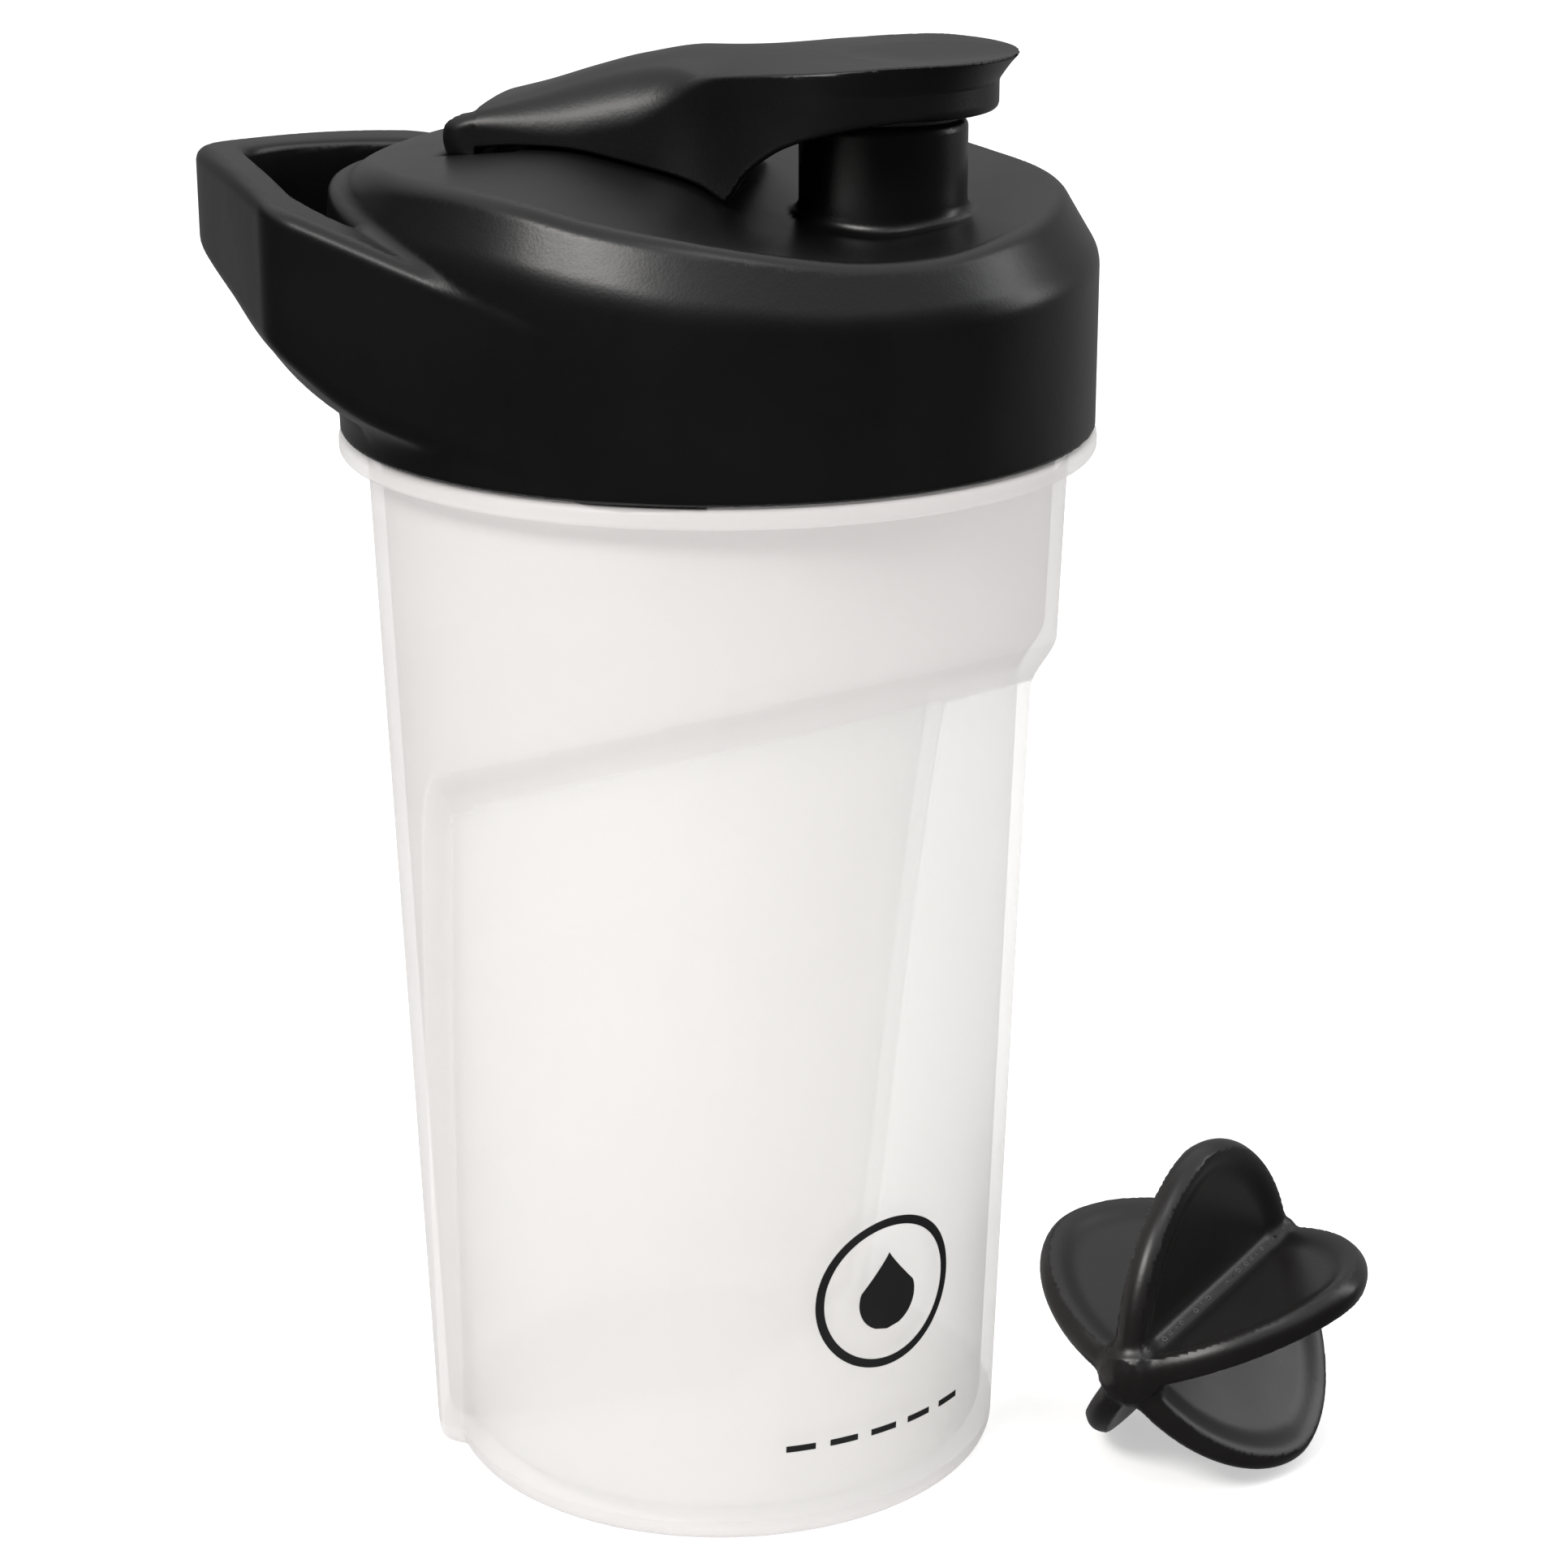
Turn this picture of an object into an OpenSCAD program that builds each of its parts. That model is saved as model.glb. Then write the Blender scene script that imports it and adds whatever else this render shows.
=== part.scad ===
// Protein shaker bottle: a frosted cup with a screw lid, a flip cap on the lid and a loose five-bladed mixer.
// The base of the cup sits on z = 0 with its centre at the origin. +X is the side of the lid with the spout.

/* [Cup] */
// Height of the cup's body, from the base to the underside of the stop flange
body_h = 138; // [110:1:190]
// Outer radius of the body at the base
body_r_base = 39.7; // [34:0.1:46]
// Outer radius of the body under the flange
body_r_top = 44.7; // [40:0.1:54]
// Thickness of the cup's side wall
cup_wall = 1.7; // [1.2:0.1:2.6]
// Thickness of the cup's floor
cup_floor = 2.4; // [1.6:0.1:4]
// Depth of the hollow under the floor
foot_depth = 0.8; // [0.4:0.1:2]
// Thickness of the stop flange
flange_t = 2.5; // [1.5:0.1:4]
// How far the stop flange stands out past the lid's skirt
flange_lip = 0.3; // [0:0.1:1.5]

/* [Grip recess] */
// Depth of the grip recess at the base
recess_base = 2.5; // [1:0.1:4]
// Depth of the grip recess at its top edge
recess_top = 3.0; // [1:0.1:4]
// Height of the recess's top edge at the middle of the cup
recess_h = 100; // [70:1:110]
// Tilt of the recess's top edge
recess_tilt = 12; // [0:1:20]
// Direction that the recess faces, round from the spout
recess_dir = -42.5; // [-180:0.5:180]
// How far behind the cup's axis the sides of the recess lie, at the top and at the base
recess_back = [3, 14]; // [0:1:20]

/* [Neck and thread] */
// Outer radius of the neck
neck_r = 43.8; // [38:0.1:50]
// Height of the neck above the flange
neck_h = 18; // [14:0.5:24]
// Thickness of the neck's wall
neck_wall = 2; // [1.4:0.1:3]
// Rise of the thread in one turn
thread_lead = 10; // [7:0.5:12]
// Number of thread starts
thread_starts = 2; // [1:1:3]
// Turn that each thread ridge covers
thread_turn = 250; // [180:10:300]
// Height of a thread ridge
thread_h = 1.1; // [0.8:0.1:1.6]
// Width of a thread ridge at its root
thread_w = 1.9; // [1.2:0.1:2.4]

/* [Lid] */
// Outer radius of the lid's skirt
skirt_r = 48; // [43:0.1:56]
// Thickness of the lid's shell
lid_wall = 2.4; // [1.8:0.1:3]
// Height of the deck above the skirt's lower edge, at the axis
deck_h = 31.5; // [27:0.5:40]
// Fall of the deck towards the spout, in degrees
deck_fall = 6.7; // [0:0.1:9]
// Radius of the deck's edge
deck_r = 44.6; // [38:0.1:50]
// How far the deck's centre lies behind the axis
deck_back = 3; // [0:0.5:5]
// Half-angle of the bevel between deck and skirt, from the vertical
bevel_angle = 34; // [20:1:50]

/* [Spout] */
// Distance from the axis to the spout's centre
spout_x = 21; // [17:0.5:24]
// Outer radius of the spout
spout_r = 10.5; // [8:0.1:12]
// Radius of the spout's bore
spout_bore = 8.4; // [6:0.1:10]
// Height of the spout's rim above the deck beside the axis
spout_h = 7.3; // [5:0.1:12]

/* [Carry loop] */
// Distance from the axis to the loop's two straight rear faces
loop_reach = 58; // [53:0.5:70]
// Half-angle between the loop's rear faces
loop_angle = 58; // [50:1:70]
// Half-width of the loop across its side corners
loop_half = 35; // [28:1:40]
// Thickness of the loop's bars
loop_bar = 5; // [4:0.5:8]
// Height of the loop's top above the skirt's lower edge
loop_top = 32.3; // [28:0.1:36]
// Height of the gusset's lower edge above the skirt's lower edge
gusset_z = 4; // [2:0.5:8]
// Rise of the loop's underside, as a slope
gusset_slope = 0.74; // [0.5:0.01:1]

/* [Flip cap] */
// Distance from the axis to the cap's hinge
hinge_x = 27.8; // [22:0.1:32]
// Height of the hinge above the deck there
hinge_up = 1.8; // [1.4:0.1:4]
// Radius of the cap's rounded rear end about the hinge
heel_r = 4.9; // [4:0.1:6]
// Radius of the hinge pins
pin_r = 1.4; // [1:0.1:2]
// Half-width of the cap's lever
lever_half = 12.6; // [10:0.1:14]
// Radius of the paddle over the spout
paddle_r = 20.2; // [16:0.1:23]
// Distance from the axis to the paddle's centre
paddle_x = 18.6; // [15:0.1:22]
// Height of the cap's top above the spout's rim
cap_rise = 9.7; // [7:0.1:12]
// Height of the paddle's side wall
paddle_wall = 7; // [4:0.1:8]
// Thickness of the cap's walls
cap_wall = 2; // [1.4:0.1:3]

/* [Seals] */
// Height of the lid's seal ring
gasket_t = 1.6; // [1:0.1:3]
// Width of the lid's seal ring
gasket_w = 3; // [2:0.1:4]
// Length of the plug inside the spout
plug_l = 4; // [2:0.5:6]
// Thickness of the plug's flange
plug_flange = 1; // [0.8:0.1:2]

/* [Mixer] */
// Radius of the mixer over its blades' rims
mixer_r = 23.2; // [16:0.1:28]
// Radius of a blade's rounded rim
rim_r = 1.6; // [1:0.1:2.4]
// Thickness of a blade's web
web_t = 1.3; // [0.8:0.1:2]
// Number of blades
blades = 5; // [3:1:7]
// Where the mixer lies, from the cup's axis
mixer_at = [66, 2]; // [-90:1:90]
// Direction that the mixer's own axis points
mixer_dir = 66; // [0:1:180]

/* [Hidden] */
// Clearances
seat_gap = 0.3;    // between the skirt's lower edge and the flange
thread_gap = 0.4;  // between a thread's crest and the wall that faces it
seal_gap = 0.05;   // between the seal ring and the cup's rim
plug_gap = 0.15;   // round the plug in the spout
pin_gap = 0.08;    // round a hinge pin in the knuckle
lug_gap = 0.3;     // between the knuckle's ends and the cap's side walls
cap_gap = 0.4;     // between the cap's lower edges and the deck
rim_gap = 0.05;    // between the plug's flange and the spout's rim

// Cup
flange_r = skirt_r + flange_lip;
seat_z = body_h + flange_t;
rim_z = seat_z + neck_h;
foot_r = body_r_base - recess_base - 5;
floor_z = foot_depth + cup_floor;
body_slope = (body_r_top - body_r_base) / body_h;
recess_r_base = body_r_base - recess_base;
recess_r_top = body_r_top - recess_top;
big = 400;

// Lid
skirt_z = seat_z + seat_gap;
skirt_bore = neck_r + thread_h + thread_gap;
ridge_z = skirt_z + 2.5;
ceiling_z = rim_z + seal_gap + gasket_t;
hollow_r = neck_r - neck_wall - 2.4;
deck_z = skirt_z + deck_h;
bevel_h = 12;
bevel_r = deck_r + bevel_h * tan(bevel_angle);
loop_z = skirt_z + loop_top;
loop_tip = loop_reach / sin(loop_angle);
side_x = loop_tip - loop_half / tan(loop_angle);
side_reach = norm([side_x, loop_half]);
side_turn = atan2(loop_half, side_x) - asin(min(1, skirt_r / side_reach));

// Spout and its plug
spout_z = deck_at(0) + spout_h;
plug_r = spout_bore - plug_gap;
flange_z = spout_z + rim_gap;
plug_flange_r = spout_r - 0.9;
stem_r = 3;
stem_l = 3;

// Cap
hinge_z = deck_at(-hinge_x) + hinge_up;
cap_z = spout_z + cap_rise;
cap_ceiling = cap_z - cap_wall - 0.4;
knuckle_r = pin_r + 1.3;
knuckle_half = lever_half - cap_wall - lug_gap;
knuckle_room = knuckle_r + cap_gap;
pin_l = 3;
heel_room = heel_r + cap_gap;
brow_x = -6;

// Mixer
mixer_hub = 1.7;
pole_r = 3;

$fn = 96;

// Height of the deck's plane at a distance x in front of the axis
function deck_at(x) = deck_z - x * tan(deck_fall);

// Radius of the cup's full body and of its recessed body at a height z
function body_r(z) = body_r_base + body_slope * z;
function recess_r(z) = recess_r_base + (recess_r_top - recess_r_base) * z / body_h;

// A solid of revolution between two radii and two heights
module cone(r1, r2, z1, z2) {
    translate([0, 0, z1]) cylinder(h = z2 - z1, r1 = r1, r2 = r2);
}

// Everything in front of the recess's sides and under its tilted top edge, moved out by a wall
module recess_space(out) {
    lean = atan2(recess_back[1] - recess_back[0], recess_h);
    rotate([0, 0, recess_dir])
        intersection() {
            translate([-recess_back[1] - out, 0, 0])
                rotate([0, lean, 0]) translate([0, -big / 2, -big / 2]) cube([big, big, big]);
            translate([0, 0, recess_h + out])
                rotate([0, -recess_tilt, 0]) translate([-big / 2, -big / 2, -big]) cube([big, big, big]);
        }
}

// The cup's body with its recess: off is how far every surface lies inside the outer one
module body_solid(off, z1, z2) {
    cone(recess_r(z1) - off, recess_r(z2) - off, z1, z2);
    difference() {
        cone(body_r(z1) - off, body_r(z2) - off, z1, z2);
        recess_space(off);
    }
}

// A helical ridge of trapezoid section on a wall of radius r; dir is 1 outwards and -1 inwards
module thread_ridge(r, dir, z, start) {
    steps = 48;
    sink = 0.3;
    half = thread_w / 2;
    section = [[-sink, -half - 0.1], [-sink, half + 0.1], [thread_h, half * 0.45], [thread_h, -half * 0.45]];
    points = [for (i = [0:steps]) let (
            a = start + thread_turn * i / steps,
            ease = min(1, 6 * min(i, steps - i) / steps + 0.02),
            lift = z + thread_lead * thread_turn / 360 * i / steps)
        for (p = section) let (
            rr = r + dir * (p[0] < 0 ? p[0] : -sink + (p[0] + sink) * ease))
            [rr * cos(a), rr * sin(a), lift + p[1]]];
    sides = [for (i = [0:steps - 1]) for (j = [0:3]) let (k = (j + 1) % 4)
        [i * 4 + j, i * 4 + k, i * 4 + 4 + k, i * 4 + 4 + j]];
    caps = [[3, 2, 1, 0], [for (j = [0:3]) steps * 4 + j]];
    tris = [for (f = concat(caps, sides)) each [[f[0], f[1], f[2]], [f[0], f[2], f[3]]]];
    polyhedron(points, dir > 0 ? [for (t = tris) [t[2], t[1], t[0]]] : tris, convexity = 4);
}

module threads(r, dir, z) {
    for (i = [0:thread_starts - 1])
        thread_ridge(r, dir, z, i * 360 / thread_starts);
}

module cup() {
    color([0.92, 0.92, 0.91, 0.6]) {
        difference() {
            union() {
                body_solid(0, 0, body_h);
                cone(flange_r, flange_r, body_h, seat_z);
                cone(neck_r, neck_r, body_h, rim_z);
            }
            body_solid(cup_wall, floor_z, body_h - 4);
            cone(body_r(body_h - 4) - cup_wall, neck_r - neck_wall, body_h - 4.01, body_h + 4);
            cone(neck_r - neck_wall, neck_r - neck_wall, body_h + 3.99, rim_z + 1);
            cone(foot_r, foot_r, -1, foot_depth);
        }
        threads(neck_r, 1, ridge_z + 0.45 * thread_lead / thread_starts);
    }
}

// Everything below the deck's tilted plane, lowered by drop
module under_deck(drop) {
    translate([0, 0, deck_z - drop]) rotate([0, deck_fall, 0])
        translate([-big / 2, -big / 2, -big]) cube([big, big, big]);
}

// The bevel: a tilted cone whose top is the deck's edge, lowered by drop
module bevel_cone(drop) {
    translate([0, 0, deck_z - drop]) rotate([0, deck_fall, 0]) translate([-deck_back, 0, -3 * bevel_h])
        cylinder(h = 3 * bevel_h, r1 = deck_r + 3 * bevel_h * tan(bevel_angle), r2 = deck_r);
}

// The loop's outline from above; bar moves it inwards
module loop_outline(bar) {
    tip = (loop_reach - bar) / sin(loop_angle);
    half = loop_half - bar * 0.9;
    corner = tip - half / tan(loop_angle);
    far = 60;
    front = half + (corner + far) * tan(side_turn) * -1;
    intersection() {
        polygon([[-tip, 0], [-corner, -half], [far, -front], [far, front], [-corner, half]]);
        translate([-big, -big / 2]) square([big - 8, big]);
    }
}

// The loop's side view: a conical underside and a top that drops along its flanks
module loop_body() {
    reach = loop_tip + 1;
    low = skirt_z + gusset_z;
    intersection() {
        rotate_extrude() polygon([
            [skirt_r - 4, low], [skirt_r, low], [reach, low + (reach - skirt_r) * gusset_slope],
            [reach, loop_z], [skirt_r - 4, loop_z]]);
        translate([0, 0, skirt_z]) linear_extrude(60) loop_outline(0);
        translate([-side_x + 2, 0, loop_z]) rotate([0, 15, 0])
            translate([-big / 2, -big / 2, -big]) cube([big, big, big]);
    }
}

// Finger gap between the loop's bars and the lid's rear wall
module loop_gap() {
    difference() {
        translate([0, 0, skirt_z - 1]) linear_extrude(60) loop_outline(loop_bar);
        cone(skirt_r + 0.4, skirt_r + 0.4, skirt_z - 2, skirt_z + 70);
    }
}

// Cylinder across the cap, centred on the hinge's axis
module cross_rod(r, half) {
    translate([-hinge_x, half, hinge_z]) rotate([90, 0, 0]) cylinder(h = 2 * half, r = r);
}

// The lid's hinge knuckle: it stands in the pocket and has a blind bore for a pin in each end
module knuckle() {
    difference() {
        union() {
            cross_rod(knuckle_r, knuckle_half);
            translate([-hinge_x - knuckle_r + 0.3, -knuckle_half, hinge_z - heel_room - 2])
                cube([2 * knuckle_r - 0.6, 2 * knuckle_half, heel_room + 2]);
        }
        difference() {
            cross_rod(pin_r + pin_gap, knuckle_half + 1);
            cross_rod(pin_r + 1, knuckle_half - pin_l - 0.5);
        }
    }
}

module lid() {
    color([0.07, 0.07, 0.08]) {
        difference() {
            union() {
                intersection() {
                    cone(skirt_r, skirt_r, skirt_z, skirt_z + 60);
                    bevel_cone(0);
                }
                difference() {
                    loop_body();
                    loop_gap();
                }
                translate([spout_x, 0, ceiling_z]) cylinder(h = spout_z - ceiling_z, r = spout_r);
            }
            cone(skirt_bore, skirt_bore, skirt_z - 1, ceiling_z);
            difference() {
                intersection() {
                    cone(hollow_r, hollow_r, ceiling_z - 1, skirt_z + 60);
                    under_deck(lid_wall);
                }
                // solid block under the hinge's pocket
                translate([-hinge_x - 12, -lever_half - 4, hinge_z - heel_room - lid_wall])
                    cube([24, 2 * lever_half + 8, 20]);
            }
            translate([spout_x, 0, ceiling_z - 1]) cylinder(h = 60, r = spout_bore);
            cross_rod(heel_room, lever_half + cap_gap);
        }
        knuckle();
        threads(skirt_bore, -1, ridge_z);
    }
}

module lid_gasket() {
    color([0.75, 0.75, 0.75])
        difference() {
            cone(neck_r, neck_r, rim_z + seal_gap, ceiling_z);
            cone(neck_r - gasket_w, neck_r - gasket_w, rim_z, ceiling_z + 1);
        }
}

// Half outline of the cap from the side, from the heel to the lip; in moves it inwards
module cap_side(in) {
    under = cap_gap - in;
    heel_top = hinge_z + heel_r - in;
    top = cap_z - in * 1.2;
    foot_x = 2;
    difference() {
        union() {
            polygon([
                [-hinge_x, deck_at(-hinge_x) + under], [-hinge_x, heel_top],
                [-hinge_x + 1.5, heel_top], [brow_x, top - 0.6], [brow_x + 6, top], [big, top],
                [big, cap_z - paddle_wall], [14, cap_z - paddle_wall], [8, spout_z - 1.2],
                [foot_x + 3, deck_at(foot_x) + 3.5], [foot_x, deck_at(foot_x) + under]]);
            translate([-hinge_x, hinge_z]) circle(r = heel_r - in);
        }
        if (in == 0)
            polygon([[-big, deck_at(-big) + cap_gap], [foot_x, deck_at(foot_x) + cap_gap],
                [foot_x, 0], [-big, 0]]);
    }
}

// The cap from above: a straight lever that widens to a round paddle
module cap_plan(in) {
    heel = hinge_x + heel_r - in;
    translate([-heel, -lever_half + in]) square([heel + paddle_x, 2 * (lever_half - in)]);
    translate([paddle_x, 0]) circle(r = paddle_r - in);
    polygon([
        [-2, -lever_half + in], [paddle_x - 8, -paddle_r * 0.9 + in],
        [paddle_x - 8, paddle_r * 0.9 - in], [-2, lever_half - in]]);
}

module cap_block(in) {
    intersection() {
        rotate([90, 0, 0]) translate([0, 0, -big / 2]) linear_extrude(big) cap_side(in);
        linear_extrude(big) cap_plan(in);
    }
}

module flip_cap() {
    color([0.07, 0.07, 0.08]) {
        difference() {
            cap_block(0);
            // hollow underside of the lever and of the paddle
            intersection() {
                cap_block(cap_wall);
                translate([-hinge_x - 10, -big / 2, 0]) cube([hinge_x + 12, big, big]);
            }
            translate([paddle_x, 0, 0]) cylinder(h = cap_ceiling, r = paddle_r - cap_wall);
            // room for the knuckle, open to the rear so that the cap can swing over it
            cross_rod(knuckle_room, lever_half - cap_wall);
            translate([-hinge_x - 10, -lever_half + cap_wall, 0])
                cube([20, 2 * (lever_half - cap_wall), hinge_z]);
            translate([-hinge_x - 10.4, -lever_half + cap_wall, 0])
                cube([10, 2 * (lever_half - cap_wall), big]);
        }
        // stub pins on the inside of the side walls
        difference() {
            cross_rod(pin_r, lever_half - 0.5);
            cross_rod(pin_r + 1, knuckle_half + lug_gap - pin_l);
        }
        // boss that holds the plug's stem
        translate([spout_x, 0, flange_z + plug_flange])
            difference() {
                cylinder(h = cap_ceiling - flange_z - plug_flange + 0.5, r = 6.5);
                translate([0, 0, -1]) cylinder(h = stem_l + 1, r = stem_r);
            }
    }
}

module spout_seal() {
    color([0.25, 0.25, 0.26]) translate([spout_x, 0, 0]) {
        cone(plug_r - 0.6, plug_r, spout_z - plug_l, spout_z - plug_l + 1.2);
        cone(plug_r, plug_r, spout_z - plug_l + 1.2, flange_z);
        cone(plug_flange_r, plug_flange_r, flange_z, flange_z + plug_flange);
        cone(stem_r, stem_r, flange_z, flange_z + plug_flange + stem_l);
    }
}

// One blade: a half disc with a round rim, in the plane of the mixer's own axis
module blade() {
    rotate_extrude(angle = 180) translate([mixer_r - rim_r, 0]) circle(r = rim_r, $fn = 24);
    intersection() {
        translate([0, 0, -web_t / 2]) cylinder(h = web_t, r = mixer_r - rim_r);
        translate([-big / 2, 0, -web_t]) cube([big, big, 2 * web_t]);
    }
}

module mixer() {
    color([0.06, 0.06, 0.07])
        translate([mixer_at[0], mixer_at[1], (mixer_r - rim_r) * cos(180 / blades) + rim_r])
            rotate([0, 0, mixer_dir]) {
                for (i = [0:blades - 1])
                    rotate([90 + i * 360 / blades, 0, 0]) blade();
                rotate([0, 90, 0]) translate([0, 0, -mixer_r + rim_r])
                    cylinder(h = 2 * (mixer_r - rim_r), r = mixer_hub);
                for (end = [-1, 1])
                    translate([end * (mixer_r - pole_r), 0, 0]) sphere(r = pole_r);
            }
}

cup();
lid();
lid_gasket();
flip_cap();
spout_seal();
mixer();
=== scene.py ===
import math
import bpy
import numpy as np
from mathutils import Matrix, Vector


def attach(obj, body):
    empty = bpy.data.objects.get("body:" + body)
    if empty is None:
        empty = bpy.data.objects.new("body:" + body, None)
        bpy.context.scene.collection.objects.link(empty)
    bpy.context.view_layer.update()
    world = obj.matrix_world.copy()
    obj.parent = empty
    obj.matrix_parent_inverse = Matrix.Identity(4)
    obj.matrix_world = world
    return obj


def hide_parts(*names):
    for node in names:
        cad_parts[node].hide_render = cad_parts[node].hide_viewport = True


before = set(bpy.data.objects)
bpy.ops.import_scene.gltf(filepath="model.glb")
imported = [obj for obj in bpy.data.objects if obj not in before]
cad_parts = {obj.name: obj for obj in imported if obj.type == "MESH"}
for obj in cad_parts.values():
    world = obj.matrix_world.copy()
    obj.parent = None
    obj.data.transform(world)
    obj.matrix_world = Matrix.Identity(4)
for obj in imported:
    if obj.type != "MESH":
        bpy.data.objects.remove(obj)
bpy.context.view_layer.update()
MM = 0.001

# ---------------------------------------------------------------- fields, in millimetres
def rmax(a, b, r):
    """Intersection of two solids with its edge rounded to radius r; rmin is their union."""
    return np.minimum(np.maximum(a, b), -r) + np.hypot(np.maximum(a + r, 0), np.maximum(b + r, 0))


def rmin(a, b, r):
    return -rmax(-a, -b, r)


def smin(a, b, k):
    """Soft minimum that blends over a width k."""
    h = np.maximum(k - np.abs(a - b), 0) / k
    return np.minimum(a, b) - h * h * k / 4


def smax(a, b, k):
    return -smin(-a, -b, k)


def step(x, a, b):
    t = np.clip((x - a) / (b - a), 0, 1)
    return t * t * (3 - 2 * t)


def curve(x, pts):
    """Smooth line through points: monotone cubic with finite-difference slopes."""
    px = np.array([p[0] for p in pts], float)
    py = np.array([p[1] for p in pts], float)
    d = np.diff(py) / np.diff(px)
    m = np.r_[d[0], [0 if a * b <= 0 else 2 * a * b / (a + b) for a, b in zip(d[:-1], d[1:])], d[-1]]
    x = np.asarray(x, float)
    i = np.clip(np.searchsorted(px, x) - 1, 0, len(px) - 2)
    w = px[i + 1] - px[i]
    t = np.clip((x - px[i]) / w, 0, 1)
    t2, t3 = t * t, t * t * t
    start = (2 * t3 - 3 * t2 + 1) * py[i] + (t3 - 2 * t2 + t) * w * m[i]
    return start + (3 * t2 - 2 * t3) * py[i + 1] + (t3 - t2) * w * m[i + 1]


def grad(f, P, e=0.03):
    g = np.empty_like(P)
    for i in range(3):
        A, B = P.copy(), P.copy()
        A[:, i] += e
        B[:, i] -= e
        g[:, i] = (f(A[:, 0], A[:, 1], A[:, 2]) - f(B[:, 0], B[:, 1], B[:, 2])) / (2 * e)
    return g


def skin(f, lo, hi, h):
    """Closed quad mesh of the surface f = 0 (naive surface nets, then moved onto the surface)."""
    lo = np.array(lo, float)
    n = np.ceil((np.array(hi, float) - lo) / h).astype(int) + 1
    ax = [lo[i] + h * np.arange(n[i]) for i in range(3)]
    V = np.empty(n)
    for i0 in range(0, n[0], 12):
        X, Y, Z = np.meshgrid(ax[0][i0:i0 + 12], ax[1], ax[2], indexing="ij")
        V[i0:i0 + 12] = f(X, Y, Z)
    S = V < 0

    def cut(a, o):
        return a[tuple(slice(o[i], a.shape[i] - 1 + o[i]) for i in range(3))]

    offs = [(a, b, c) for a in (0, 1) for b in (0, 1) for c in (0, 1)]
    count = sum(cut(S, o).astype(np.int8) for o in offs)
    live = (count > 0) & (count < 8)
    cells = np.argwhere(live)
    idx = -np.ones(live.shape, int)
    idx[live] = np.arange(len(cells))
    acc = np.zeros((len(cells), 3))
    num = np.zeros(len(cells))
    for a in offs:
        for d in range(3):
            if a[d]:
                continue
            b = list(a)
            b[d] = 1
            v0 = V[tuple((cells + a).T)]
            v1 = V[tuple((cells + b).T)]
            on = (v0 < 0) != (v1 < 0)
            t = np.where(on, v0 / np.where(on, v0 - v1, 1), 0)
            p = np.tile(np.array(a, float), (len(cells), 1))
            p[:, d] += t
            acc[on] += p[on]
            num[on] += 1
    P = lo + h * (cells + acc / num[:, None])
    quads = []
    for d in range(3):
        e1, e2 = (d + 1) % 3, (d + 2) % 3
        sl0, sl1 = [slice(None)] * 3, [slice(None)] * 3
        sl0[d], sl1[d] = slice(0, -1), slice(1, None)
        for e in (e1, e2):
            sl0[e] = sl1[e] = slice(1, -1)
        A, B = S[tuple(sl0)], S[tuple(sl1)]
        pos = np.argwhere(A != B)
        inside = A[tuple(pos.T)]
        pos[:, e1] += 1
        pos[:, e2] += 1
        u1, u2 = np.zeros(3, int), np.zeros(3, int)
        u1[e1], u2[e2] = 1, 1
        q = np.stack([idx[tuple((pos - o).T)] for o in (u1 + u2, u2, 0 * u1, u1)], 1)
        q[~inside] = q[~inside][:, ::-1]
        quads.append(q)
    quads = np.concatenate(quads)
    for _ in range(3):
        g = grad(f, P)
        v = f(P[:, 0], P[:, 1], P[:, 2])
        m = np.maximum((g * g).sum(1), 0.2)
        s = -(v / m)[:, None] * g
        L = np.linalg.norm(s, axis=1)
        s *= np.minimum(1, 0.5 * h / np.maximum(L, 1e-9))[:, None]
        P += s
    N = grad(f, P, 0.08)
    N /= np.maximum(np.linalg.norm(N, axis=1), 1e-9)[:, None]
    return P, quads, N


def make(name, P, faces, N=None, body=None, mat=None, replaces=()):
    me = bpy.data.meshes.new(name)
    faces = faces if isinstance(faces, list) else faces.tolist()
    me.from_pydata((np.asarray(P) * MM).tolist(), [], faces)
    me.update()
    me.polygons.foreach_set("use_smooth", [True] * len(me.polygons))
    if N is not None:
        me.normals_split_custom_set_from_vertices(np.asarray(N).tolist())
    ob = bpy.data.objects.new(name, me)
    bpy.context.scene.collection.objects.link(ob)
    if mat:
        me.materials.append(mat)
    if body:
        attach(ob, body)
    if replaces:
        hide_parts(*replaces)
    return ob


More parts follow.
